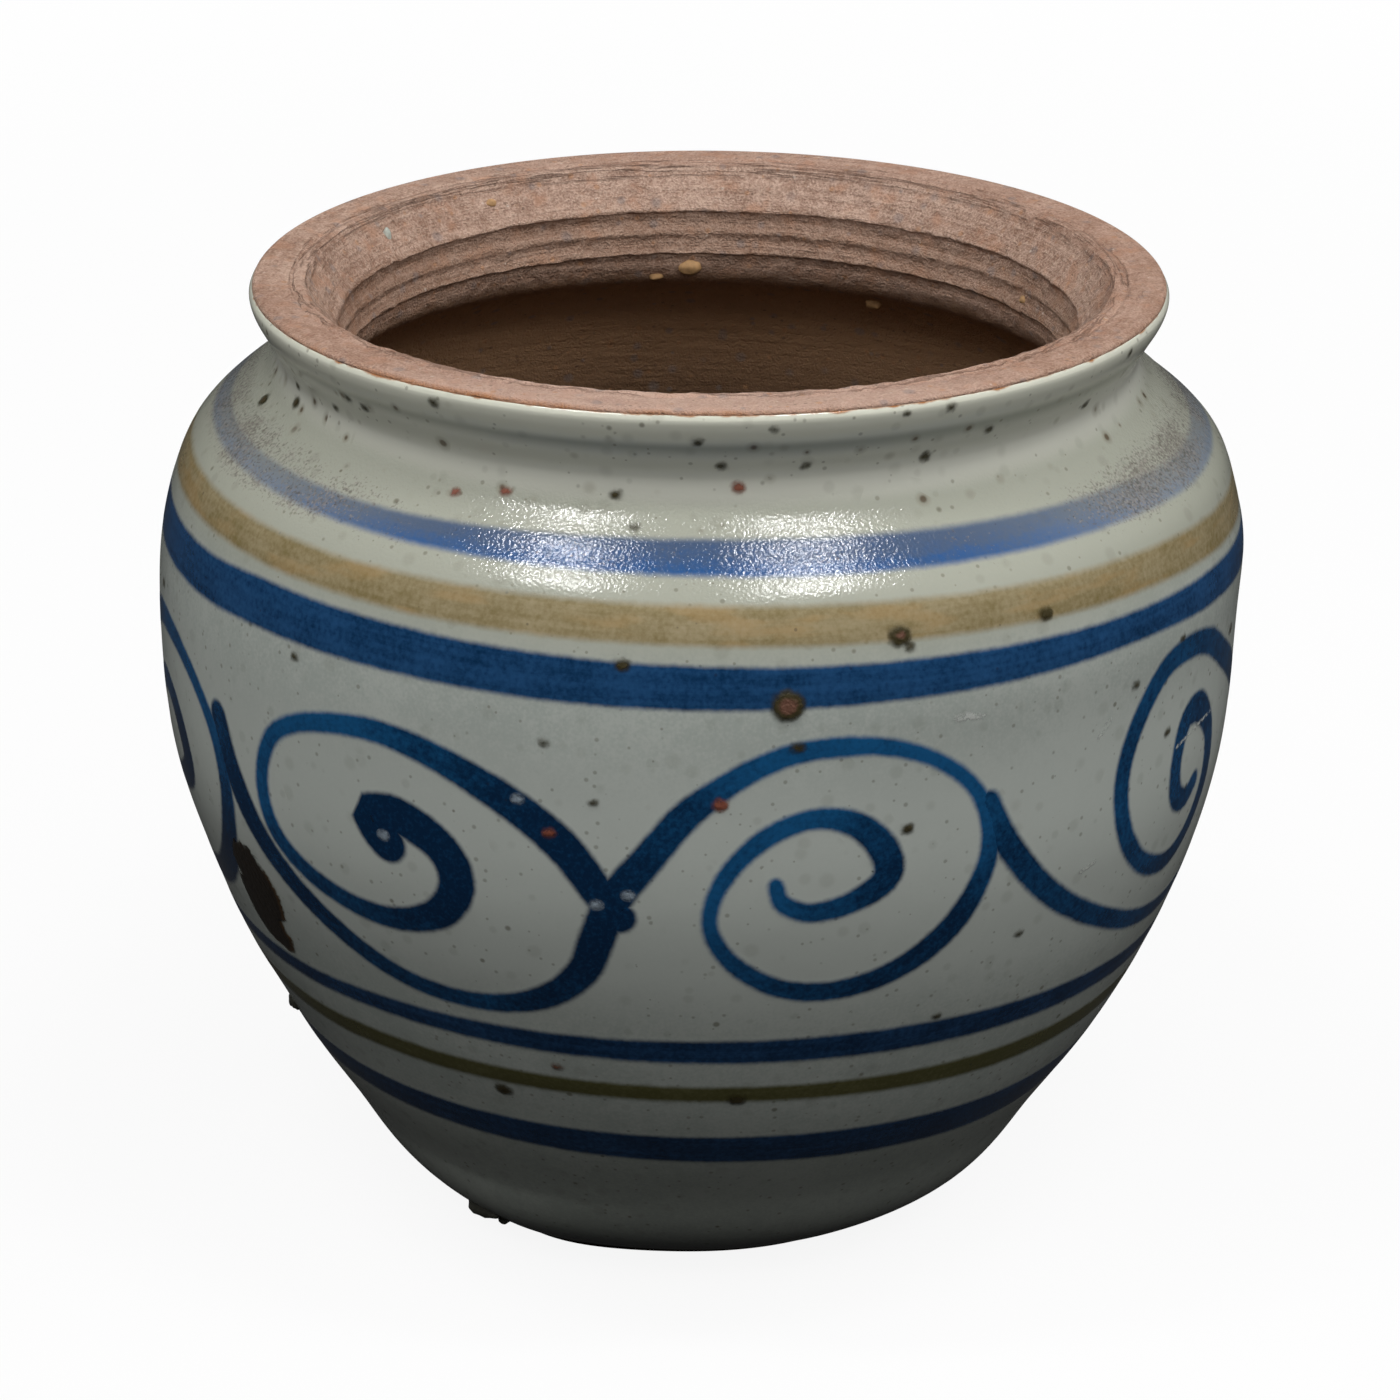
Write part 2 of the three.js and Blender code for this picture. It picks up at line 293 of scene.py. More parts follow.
def clay_finish():
    """Grainy clay, ringed by the wheel, creased on the land and flashed at its edge. Painted shade
    darkens the hollow and the creases; painted light lifts the top of the hollow, the back of the rim and
    the front of the land.
    """
    made_of, shader, place, height = material("bare_stoneware", 0.9)
    radius = place.node("ShaderNodeVectorMath", {"operation": "LENGTH"}, {0: place.stretch(1, 1, 0)}, 1)
    wound = {0: (radius + height) * 1.4, 1: place.part(0) * 0.05, 2: place.part(1) * 0.05}
    rings = place.node("ShaderNodeCombineXYZ", {}, wound).cloud(1, 3)
    patches = place.cloud(7, 3)
    flecks = place.cloud(1.4, 3)
    grain = place.cloud(0.32, 4)
    mixed = patches * 0.45 + flecks * 0.6 + grain * 1.2 + rings * 0.4 - 0.825
    tone = mixed.step(0.15, 0.85).mix(CLAY_DARK, CLAY_PALE)
    # Painted light: the clay is made paler towards the back of the rim and the bevel.
    tone = (place.part(1).step(20, 50) * 0.1).mix(tone, CLAY_BACK_PAINTED_LIGHT)
    tone = (place.cloud(3, 3).step(0.52, 0.7) * 0.5).mix(tone, CLAY_BLUSH)
    land = (height + grain * 0.5).step(123.6, 124.1)
    tone = (land * 0.25).mix(tone, LAND_BROWN)
    # Painted light: the land is made paler at its front.
    tone = (land * place.part(1).step(-38, -54) * 0.4).mix(tone, LAND_FRONT_PAINTED_LIGHT)
    tone = (height.step(118.8, 117.2) * 0.4).mix(tone, RIDGE_BROWN)
    # In the hollow the clay is streaked by the wheel's rings and painted dark as painted shade; just
    # under the neck it is painted lighter as painted light.
    hollow = (height + patches * 4 + grain * 1.5).step(113.5, 107.5)
    hollow_light_and_shade = (rings * 0.5 + flecks * 0.25 + patches * 0.25).step(0.3, 0.7).mix(HOLLOW_SHADE_DARK, HOLLOW_SHADE_BROWN)
    hollow_light_and_shade = (height.step(80, 100) * 0.8).mix(hollow_light_and_shade, HOLLOW_TOP_PAINTED_LIGHT)
    tone = hollow.mix(tone, hollow_light_and_shade)
    tone = (place.spots(2.4, 1.1, 0.4) * 0.4).mix(tone, GREY_GRAIN)
    tone = (place.spots(1.9, 0.6, 0.4) * 0.5).mix(tone, ORANGE_GRAIN)
    tone = (place.spots(1.2, 0.36, 0.4) * 0.5).mix(tone, DARK_GRAIN)
    tone = (place.spots(1.7, 0.32, 0.3) * (1 - hollow) * 0.6).mix(tone, PALE_GRAIN)
    # Painted shade: thin dark lines in the tooled creases on the land, which the bump also sinks.
    off_line = (rings - 0.5).most(0.5 - rings)
    inwards = radius + patches * 1.4
    tooled = inwards.step(54.4, 53.8) * inwards.step(51, 51.6)
    crease = off_line.step(0.03, 0.008) * height.step(121, 122.5) * tooled
    tone = (crease * 0.5).mix(tone, CREASE_SHADE)
    flash = (radius + patches * 1.6 + grain * 0.9).step(59.1, 60.2) * height.step(120, 121)
    tone = flash.mix(tone, FLASH_ORANGE)
    feed(shader, "Base Color", tone)
    feed(shader, "Normal", bump(grain * 0.5 + flecks * 0.6 + rings * 0.4 - crease * 0.25, 0.8))
    return made_of


POT_STEPS = 540  # round the jar
WALL_STEPS = 28  # up the outside, where the glaze hides it


def pot():
    """The pot's mesh, uneven where the bare clay shows."""
    foot = [(0, 2.5), (24.8, 2.5), (26, 0.3), (26.4, 0), (31, 0), (31.5, 0.4)]
    rise = (GLAZE_TOP - GLAZE_LINE) / WALL_STEPS
    heights = [GLAZE_LINE + rise * step for step in range(WALL_STEPS + 1)]
    outside = [under_wall(height, glaze_depth(height)) for height in heights]
    rim = smooth_line([
        (58.1, 123.75), (57.8, 124), (57.2, 124.12), (56.2, 124.15), (54.8, 124.12), (53.7, 124.1),
        (53.4, 124), (53.15, 123.85), (52.8, 124), (52.2, 124.15), (51.6, 124.05), (51.2, 123.7),
        (50.8, 123.1), (50.2, 122.2), (49.6, 121.55), (48.9, 120.6), (48.2, 119.7), (47.6, 119),
        (47.3, 118.5), (47.5, 118.2), (47.65, 117.6), (47.6, 116.8), (47.4, 116.3), (47.1, 115.8),
        (46.95, 115.3), (47.05, 114.9), (47.1, 114.2), (46.85, 113.5), (46.65, 112.9), (46.6, 112.6),
        (46.9, 112.3), (47.15, 111.5), (47.3, 110.4), (47.8, 109.2),
    ], 3)
    hollow = smooth_line([
        (47.8, 109.2), (48.9, 107.9), (51.8, 106.2), (55.6, 103.6), (58.6, 101), (60.8, 98.4),
        (62.3, 93), (63, 84), (62.7, 75), (61.8, 67), (60, 59), (57.4, 50.5), (54.2, 42.6),
        (50.6, 35), (46.5, 28.3), (42, 21.8), (37, 15.5), (31, 10.8), (24, 8.5), (12, 8), (0, 8),
    ], 2)[1:]
    shape = turned([*foot, *outside, *rim, *hollow], POT_STEPS)
    elsewhere = Vector((50, 0, 0))
    for vert in shape.verts:
        place = vert.co.copy()
        radius = place.xy.length
        bare = between(radius, 57.6, 55.6) * between(place.z, 70, 100)
        wander = 0.2 * noise.noise(place / 9) + 0.16 * noise.noise(place / 2) + 0.14 * noise.noise(place)
        pitted = 0.16 * noise.noise(place / 3 + elsewhere) + 0.12 * noise.noise(place / 1.2)
        place.xy *= 1 + bare * wander / max(TRUE_RADIUS, radius)
        place.z += bare * pitted * between(place.z, 100, 110)
        vert.co = by_hand(place)
    return shape


body = made("pot_of_stoneware", pot(), clay_finish())
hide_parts("stoneware_body")


# The glaze: a glassy grey-green coat that the pot was dipped in, melted on in the kiln. It carries
# specks of iron from the clay, has dust in its angle under the neck, and stops short of the rim.
CELADON = colour(0.395, 0.43, 0.395)
CELADON_PALE = colour(0.475, 0.505, 0.465)
CELADON_BELLY_LIGHT = colour(0.55, 0.585, 0.54)
CELADON_WARM = colour(0.41, 0.415, 0.34)
CELADON_FOOT_SHADE = colour(0.2, 0.215, 0.17)
CELADON_NECK_LIGHT = colour(0.68, 0.68, 0.6)
CELADON_LIP_LIGHT = colour(0.78, 0.78, 0.66)
SHADOW_SPECK = colour(0.12, 0.11, 0.07)
OLIVE_SPECK = colour(0.09, 0.075, 0.035)
BROWN_SPECK = colour(0.1, 0.085, 0.045)
NECK_HALO = colour(0.15, 0.12, 0.06)
NECK_SPECK = colour(0.09, 0.055, 0.028)
BURNT_EDGE = colour(0.4, 0.17, 0.065)
DUST_DARK = colour(0.1, 0.085, 0.07)
DUST_PALE = colour(0.33, 0.3, 0.27)


def dusty(tone, place, height):
    """A colour with the dust on it that has settled on the shoulder, more at the sides."""
    sides = place.part(1).step(-60, -30)
    drift = place.cloud(10, 3).step(0.4, 0.68)
    shoulder = height.step(103, 106.5) * height.step(113, 108.5)
    amount = shoulder * (0.12 + 0.28 * drift + 0.42 * sides)
    grain = (place.cloud(0.4, 3) * 1.6 + amount - 1.25).step(0, 0.4)
    dust = place.grains(0.35).mix(DUST_DARK, DUST_PALE)
    return (grain * 0.7).mix(tone, dust)


def glaze_colour(place, height):
    """The colour of the glaze alone, with its specks, painted light on the belly, the neck and the lip,
    and painted shade towards the foot.
    """
    fine = place.cloud(0.45, 4)
    cloudy = (place.cloud(20, 3) * 0.35 + place.cloud(2, 3) * 0.25 + fine * 0.4).step(0.39, 0.61)
    tone = cloudy.mix(CELADON, CELADON_PALE)
    # Painted light: the glaze is made paler across the belly.
    tone = (height.step(44, 58) * height.step(92, 78) * 0.85).mix(tone, CELADON_BELLY_LIGHT)
    tone = (height.step(92, 103) * (0.75 + fine * 0.25)).mix(tone, CELADON_WARM)
    # Painted shade: the glaze is made darker towards the foot.
    tone = (height.step(40, 8) * 0.3).mix(tone, CELADON_FOOT_SHADE)
    # Painted light: the glaze is made paler in the neck, under the lip.
    tone = (height.step(112, 115) * height.step(120.5, 118.5) * 0.85).mix(tone, CELADON_NECK_LIGHT)
    level = height - place.part(0) * 0.012 + place.part(1).least(0) * 0.0207
    # Painted light: the glaze is made paler on the face of the lip.
    tone = (level.step(119.2, 120.4) * 0.9).mix(tone, CELADON_LIP_LIGHT)
    tone = (place.spots(2.6, 1.4, 0.55) * 0.13).mix(tone, SHADOW_SPECK)
    tone = (place.spots(1.3, 0.42, 0.4) * 0.4).mix(tone, OLIVE_SPECK)
    tone = (place.spots(3.6, 0.6, 0.28) * 0.6).mix(tone, BROWN_SPECK)
    neck = height.step(109.5, 112.5) * height.step(123.5, 122)
    tone = (place.spots(3.3, 1.5, 0.7) * neck * 0.3).mix(tone, NECK_HALO)
    tone = (place.spots(3.3, 0.75, 0.7) * neck * 0.8).mix(tone, NECK_SPECK)
    edge = (level + place.cloud(2.4, 3) * 0.9).step(123.9, 124.2)
    return edge.mix(tone, BURNT_EDGE)


def glaze_bump(place, height):
    """The slight unevenness of the glaze, which is gritty on the shoulder and sparkles there."""
    shoulder = height.step(102.5, 106.5) * height.step(114.5, 111.5)
    grit = place.cloud(0.42, 1) * (0.01 + shoulder * 0.24)
    return bump(place.cloud(7, 2) * 0.3 + grit, 0.25)


def glaze_finish():
    made_of, shader, place, height = material("celadon_glaze", 0.15)
    feed(shader, "Base Color", dusty(glaze_colour(place, height), place, height))
    feed(shader, "Normal", glaze_bump(place, height))
    return made_of


GLAZE_STEPS = 420  # round the jar
COAT_STEPS = 190  # up the outside
INSIDE_PACE = 12  # steps of the outside to one of the inside, which the pot hides
MELTED_EDGE = 0.7  # how far from its edges the coat has its whole thickness


def glaze_coat():
    """The coat's mesh: it bites into the clay, and its two edges have melted round."""
    heights = [z for r, z in WALL if GLAZE_LINE <= z <= GLAZE_TOP]
    picked = [heights[round(i * (len(heights) - 1) / COAT_STEPS)] for i in range(COAT_STEPS + 1)]
    outside = []
    for height in picked:
        from_edge = min(GLAZE_TOP - height, height - GLAZE_LINE)
        melted = sqrt(min(1, from_edge / MELTED_EDGE))
        outside.append(under_wall(height, 0.2 * (1 - melted)))
    inside = [under_wall(height, glaze_depth(height) + 0.5) for height in picked[::-INSIDE_PACE]]
    shape = turned([*outside, *inside], GLAZE_STEPS)
    for vert in shape.verts:
        vert.co = by_hand(vert.co)
    return shape


glaze = made("celadon_glaze", glaze_coat(), glaze_finish())
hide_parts("glaze_coat")


# The bands: six rings brushed on while the jar turned on the wheel, four in cobalt and two in iron.
# The pigment lies in the glaze, bleeds into it at both edges and shows the streaks of the brush.
BLEED = 1  # width of the soft edge of a brush mark
PIGMENT_SINK = 0.006  # how far the rim of a mark lies under the glaze
PIGMENT_RISE = 0.035  # how much higher the middle lies
PIGMENT_SPECK = colour(0.02, 0.02, 0.03)
MARK_STEPS = 12  # across a brush mark


def paint():
    """An empty mesh for brush marks, which keeps how far a point lies from the edge of its mark."""
    shape = bmesh.new()
    shape.verts.layers.float.new("inset")
    shape.verts.layers.float.new("tone")
    shape.loops.layers.uv.new("brush")
    return shape


def brush_mark(shape, path, closed=False, rise=PIGMENT_RISE, pace=0.7, tone=None):
    """A ribbon on the wall along a path of angle, height and width, with soft edges and round ends."""
    line = smooth_line(path, 5)
    flat = [0.0]
    for (a0, z0, _), (a1, z1, _) in zip(line, line[1:]):
        radius = wall_at((z0 + z1) / 2)[0]
        flat.append(flat[-1] + hypot(radians(a1 - a0) * radius, z1 - z0))
    total = flat[-1]
    start_run = 0 if closed else line[0][2] / 2 + BLEED
    end_run = 0 if closed else line[-1][2] / 2 + BLEED
    length = start_run + total + end_run
    count = max(8, round(length / pace))
    grid = bmesh.ops.create_grid(shape, x_segments=count, y_segments=MARK_STEPS, size=0.5)["verts"]
    brush = shape.loops.layers.uv["brush"]
    for face in {face for vert in grid for face in vert.link_faces}:
        face.smooth = True
        for loop in face.loops:
            loop[brush].uv = (loop.vert.co.x * length, loop.vert.co.y)
    columns = {}
    for vert in grid:
        columns.setdefault(round((vert.co.x + 0.5) * count), []).append(vert)
    spot = 0
    for column in sorted(columns):
        run = column / count * length - start_run
        inside_run = min(max(run, 0), total)
        while spot < len(flat) - 2 and flat[spot + 1] < inside_run:
            spot += 1
        share = (inside_run - flat[spot]) / (flat[spot + 1] - flat[spot])
        here = [b + (c - b) * share for b, c in zip(line[spot], line[spot + 1])]
        radius, outwards, upwards = wall_at(here[1])
        low, high = line[max(spot - 1, 0)], line[min(spot + 2, len(line) - 1)]
        ahead = Vector((radians(high[0] - low[0]) * radius, (high[1] - low[1]) / upwards)).normalized()
        over = run - inside_run
        half = here[2] / 2 + BLEED
        for vert in columns[column]:
            side = vert.co.y * 2 * half
            inset = half - hypot(over, side)
            vert[shape.verts.layers.float["inset"]] = inset
            vert[shape.verts.layers.float["tone"]] = here[2] if tone is None else tone
            shift = ahead * over + Vector((-ahead.y, ahead.x)) * side
            angle = here[0] + shift.x / radius * 180 / pi
            height = here[1] + shift.y * upwards
            lift = rise * (1 - exp(-(max(inset, 0) / 0.8) ** 2)) - PIGMENT_SINK
            vert.co = on_wall(angle, height, lift)
    if closed:
        bmesh.ops.remove_doubles(shape, verts=shape.verts, dist=1e-6)


def kept(made_of, name):
    """A number that the mesh keeps at each of its points."""
    attribute = made_of.node_tree.nodes.new("ShaderNodeAttribute")
    attribute.attribute_name = name
    return Value(attribute.outputs["Fac"])


def pigment_finish(name, thin, thick, load, by_width=0, pool=0, soft=0.9, stain=None, side_sheen=0):
    """Pigment in the glaze: its thin and thick colours, what the brush carried, how much more a wide mark
    holds and how much darker it is low on the jar as painted shade, what ran downwards, the width of the
    soft edge, a stain and how much it thins towards the sides as a painted sheen."""
    made_of, shader, place, height = material(name, 0.15)
    edge = kept(made_of, "inset")
    brush = made_of.node_tree.nodes.new("ShaderNodeUVMap")
    brush.uv_map = "brush"
    brush = Value(brush.outputs[0])
    if by_width:
        streaks = brush.stretch(0.08, 5, 1).cloud(1, 3) * 0.4 - 1
    else:
        streaks = place.stretch(0.035, 0.035, 1.1).cloud(1, 3) * 0.7 - 1.15
    ragged = place.cloud(0.8, 3) * 0.5 + place.cloud(3, 2) * 0.5
    cover = (edge + (ragged - 0.5) * 0.5).step(0.8 - soft / 2, 0.8 + soft / 2)
    # Painted sheen: the cover thins towards the sides, so the mark shows paler there.
    cover = cover * (1 - place.part(1).step(-60, -25) * side_sheen)
    depth = streaks + place.cloud(6, 3) * 0.7 + place.cloud(0.7, 4) * 0.9 + load
    # Marks with by_width also hold more pigment when wide, and darken towards the bottom of the jar as
    # painted shade.
    depth = depth + (kept(made_of, "tone") + height.step(88, 46)) * by_width - brush.part(1) * pool
    paint_tone = depth.step(0, 1).mix(thin, thick)
    if stain:
        stained = place.stretch(0.3, 0.3, 1.3).cloud(3, 3).step(0.5, 0.68) * 0.4
        paint_tone = stained.mix(paint_tone, stain)
    mottle = place.cloud(0.5, 2).step(0.45, 0.75) * 0.18
    paint_tone = mottle.mix(paint_tone, thin)
    paint_tone = (place.spots(2.2, 0.3, 0.4) * 0.4).mix(paint_tone, PIGMENT_SPECK)
    tone = cover.mix(glaze_colour(place, height), paint_tone)
    feed(shader, "Base Color", dusty(tone, place, height))
    feed(shader, "Normal", glaze_bump(place, height))
    return made_of


COBALT_FAINT = colour(0.009, 0.1, 0.26)
COBALT_THIN = colour(0.019, 0.08, 0.205)
COBALT_THICK = colour(0.0015, 0.02, 0.062)
COBALT_WASH = colour(0.07, 0.11, 0.2)
COBALT_BRIGHT = colour(0.022, 0.1, 0.29)
IRON_WASH = colour(0.38, 0.315, 0.19)
IRON_THICK = colour(0.21, 0.16, 0.065)
IRON_STAIN = colour(0.42, 0.27, 0.115)
IRON_OLIVE = colour(0.17, 0.165, 0.07)
IRON_DARK = colour(0.085, 0.08, 0.024)
cobalt_band = pigment_finish("cobalt_band", COBALT_THIN, COBALT_THICK, 0.43)
deep_cobalt = pigment_finish("deep_cobalt_band", COBALT_THIN, COBALT_THICK, 0.68, soft=1)
washed_cobalt = pigment_finish(
    "washed_cobalt_band", COBALT_WASH, COBALT_BRIGHT, 0.36, pool=1.3, soft=1.2, side_sheen=0.5)
iron_band = pigment_finish("iron_band", IRON_WASH, IRON_THICK, 0.5, soft=1.2, stain=IRON_STAIN)
olive_band = pigment_finish("olive_iron_band", IRON_OLIVE, IRON_DARK, 0.86, soft=1.1)

BANDS = {  # places round the jar, each with its angle, height and width
    "shoulder_cobalt_band": [
        (-180, 107, 3.2), (-120, 106.8, 2.9), (-75, 107.1, 2.7), (-45, 107.4, 3), (0, 108.2, 4.2),
        (50, 107.3, 4), (75, 106.2, 3.4), (120, 106.3, 3.2), (180, 107, 3.2),
    ],
    "shoulder_iron_band": [
        (-180, 101, 4), (-120, 101.1, 3.8), (-60, 101.3, 3.7), (0, 101.9, 4.3), (50, 100.5, 4.2),
        (75, 98.9, 4.1), (95, 98.6, 4), (130, 100, 4), (180, 101, 4),
    ],
    "belt_cobalt_band": [
        (-180, 94.8, 5), (-100, 94.2, 5), (-65, 94.1, 5.2), (-50, 95, 5.6), (-30, 95.3, 5.3),
        (0, 95, 4.9), (30, 94.8, 4.1), (50, 94.5, 3.4), (65, 93.7, 3.9), (80, 92.9, 4.2),
        (100, 92.9, 4.5), (135, 94.3, 4.7), (180, 94.8, 5),
    ],
    "lower_cobalt_band": [
        (-180, 44.5, 3.6), (-110, 43.8, 2.8), (-55, 43.9, 2.3), (-35, 44.7, 2.7), (0, 45.1, 3.5),
        (25, 44.9, 3.8), (50, 44, 3.5), (70, 43.2, 3.1), (110, 43.8, 3.4), (180, 44.5, 3.6),
    ],
    "lower_iron_band": [
        (-180, 37.4, 2.8), (-60, 37.2, 2.8), (-40, 37.7, 2.8), (0, 38, 2.4), (20, 37.6, 2.7),
        (45, 36.8, 3.2), (90, 36.9, 3), (180, 37.4, 2.8),
    ],
    "foot_cobalt_band": [
        (-180, 27.2, 4.8), (-90, 26.9, 4.4), (-45, 27.5, 4.6), (0, 27.6, 5.4), (25, 27, 5.8),
        (50, 26, 6), (90, 26.4, 5.2), (180, 27.2, 4.8),
    ],
}
FINISHES = [washed_cobalt, iron_band, cobalt_band, deep_cobalt, olive_band, deep_cobalt]
for (node, path), finish in zip(BANDS.items(), FINISHES):
    ring = paint()
    brush_mark(ring, path, closed=True)
    band = made("brushed_" + node, ring, finish)
    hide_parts(node)
    "iron" if "iron" in node else "cobalt"


# The running scroll: twelve strokes of a round brush in cobalt, three to each of its four repeats.
# The left curl, the sweep under it and the right curl meet where the brush was set down again.
cobalt_stroke = pigment_finish("cobalt_stroke", COBALT_FAINT, COBALT_THICK, -0.42, by_width=0.3)
LEFT_CURL = [  # places along the stroke, with angle, height and width
    (-32, 70.4, 5), (-33.4, 72.2, 5.2), (-34.3, 74, 4.2), (-30.4, 74.4, 4.8), (-25.8, 71.6, 4.6),
    (-24.2, 67.2, 4.6), (-26.2, 62.6, 4), (-31, 60, 3.2), (-36.8, 59.9, 2.8),
    (-43.3, 62.1, 2.6), (-48, 66.2, 2.5), (-49.5, 72, 2.3), (-48.1, 78, 2.1), (-44.4, 81.8, 2.1),
    (-38, 84.2, 2.4), (-32, 84.7, 2.8), (-25.5, 83, 3.4), (-18.5, 79.2, 4.2),
    (-13, 74.2, 4.3), (-9.4, 68.2, 4),
]
TALL_LEFT_CURL = [  # as it was drawn in the second repeat
    (-31, 67.6, 2.6), (-33.4, 66.2, 3), (-36, 68.2, 3), (-36.6, 73, 2.8), (-35, 77.8, 3.6),
    (-31.4, 78, 4), (-27.6, 73, 3), (-27, 66, 3.2), (-30, 60, 3), (-35, 58, 2.8), (-41.5, 61, 2.6),
    (-46, 67, 2.6), (-47.5, 74, 2.8), (-46, 80.6, 3), (-42, 86.4, 3.2), (-37.6, 88, 3.2),
    (-31, 86.8, 3.2), (-24, 82, 3.4), (-16, 76, 3.6), (-9.4, 69.5, 3.6),
]
SWEEP = [  # share of the way from the curl before it, height and width
    (0, 77.6, 2.8), (0.05, 71, 3.2), (0.14, 63.8, 3), (0.26, 57.8, 2.8), (0.42, 52.5, 2.6),
    (0.56, 50.1, 2.4), (0.71, 49.9, 2.6), (0.84, 52, 3.2), (0.93, 56.3, 3.7), (0.97, 61.8, 4),
    (1, 67.6, 4),
]
SWEEP_START = 30
SWEEP_END = -8.4
RIGHT_CURL = [
    (-7.6, 65.3, 4), (-8.3, 67.3, 4.2), (-4.9, 73.2, 3.7), (-1, 79.4, 3.5), (4, 84.2, 2.7),
    (9, 86.9, 2.4), (14.6, 87.5, 2.2), (20.1, 86.4, 1.8), (25.1, 83.4, 1.6),
    (28.8, 78.9, 1.8), (30.4, 73.4, 2.3), (29.9, 68, 2.7), (27.2, 61.8, 3.4), (22.4, 56.9, 3.2),
    (16.1, 54.4, 2.8), (10, 54.7, 2.6), (5.1, 57.7, 2.2), (2.1, 62, 1.8), (1.4, 66.6, 1.6),
    (3.2, 72, 2), (6.9, 76.5, 2.3), (11.5, 78.5, 2.4), (15.8, 77.2, 3), (18.7, 73.4, 3.6),
    (19, 69.7, 3.6), (15.4, 66.9, 2.8), (11.3, 66, 2.4), (8.5, 67.5, 2), (7.8, 70, 1.6),
]
REPEATS = [  # degrees round the jar, left curl, how much higher both curls, how much wider sweep and curl
    (0, LEFT_CURL, 0, 0, 0.9, 0), (96, TALL_LEFT_CURL, 0, 0.8, 0, 0),
    (185, LEFT_CURL, -0.6, -1.2, 0, 0), (272.5, LEFT_CURL, -1.5, -4.5, 0.7, 0.7),
]
before = REPEATS[-1][0] - 360
for number, (turn, left_curl, left_up, right_up, sweep_wider, curl_wider) in enumerate(REPEATS, 1):
    start, end = before + SWEEP_START, turn + SWEEP_END
    before = turn
    strokes = {
        "left_curl": [(angle + turn, height + left_up, width) for angle, height, width in left_curl],
        "sweep": [
            (start + share * (end - start), height, width + sweep_wider * max(0, 1 - 1.6 * share))
            for share, height, width in SWEEP
        ],
        "right_curl": [
            (angle + turn, height + right_up, width + curl_wider) for angle, height, width in RIGHT_CURL
        ],
    }
    for stroke, path in strokes.items():
        node = f"scroll_{stroke}_{number}"
        mark = paint()
        brush_mark(mark, path)
        piece = made("brushed_" + node, mark, cobalt_stroke)
        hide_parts(node)


# The iron spots: grains of iron in the clay that melted and came up through the glaze. The largest
# stand up as blisters, the small ones lie in it, and the freshest are rust red.
SPOT_HALO = colour(0.05, 0.04, 0.015)
RUST_HALO = colour(0.27, 0.085, 0.05)
SPOT_CORE = colour(0.045, 0.036, 0.015)
RUST_CORE = colour(0.27, 0.115, 0.085)
PALE_BLISTER = colour(0.3, 0.36, 0.42)


def spot_finish():
    made_of, shader, place, _ = material("iron_spots", 0.5)
    edge = kept(made_of, "inset") + (place.cloud(0.8, 3) - 0.5) * 0.9
    rust = kept(made_of, "tone")
    halo = rust.step(0.7, 0.9).mix(SPOT_HALO, RUST_HALO)
    core = rust.mix(SPOT_CORE, RUST_CORE)
    tone = edge.step(1.3, 2).mix(halo, core)
    tone = rust.step(-0.2, -0.6).mix(tone, PALE_BLISTER)
    feed(shader, "Base Color", tone)
    feed(shader, "Alpha", edge.step(0.3, 1.4) * 0.95)
    feed(shader, "Normal", bump(place.cloud(0.5, 3), 0.25))
    return made_of


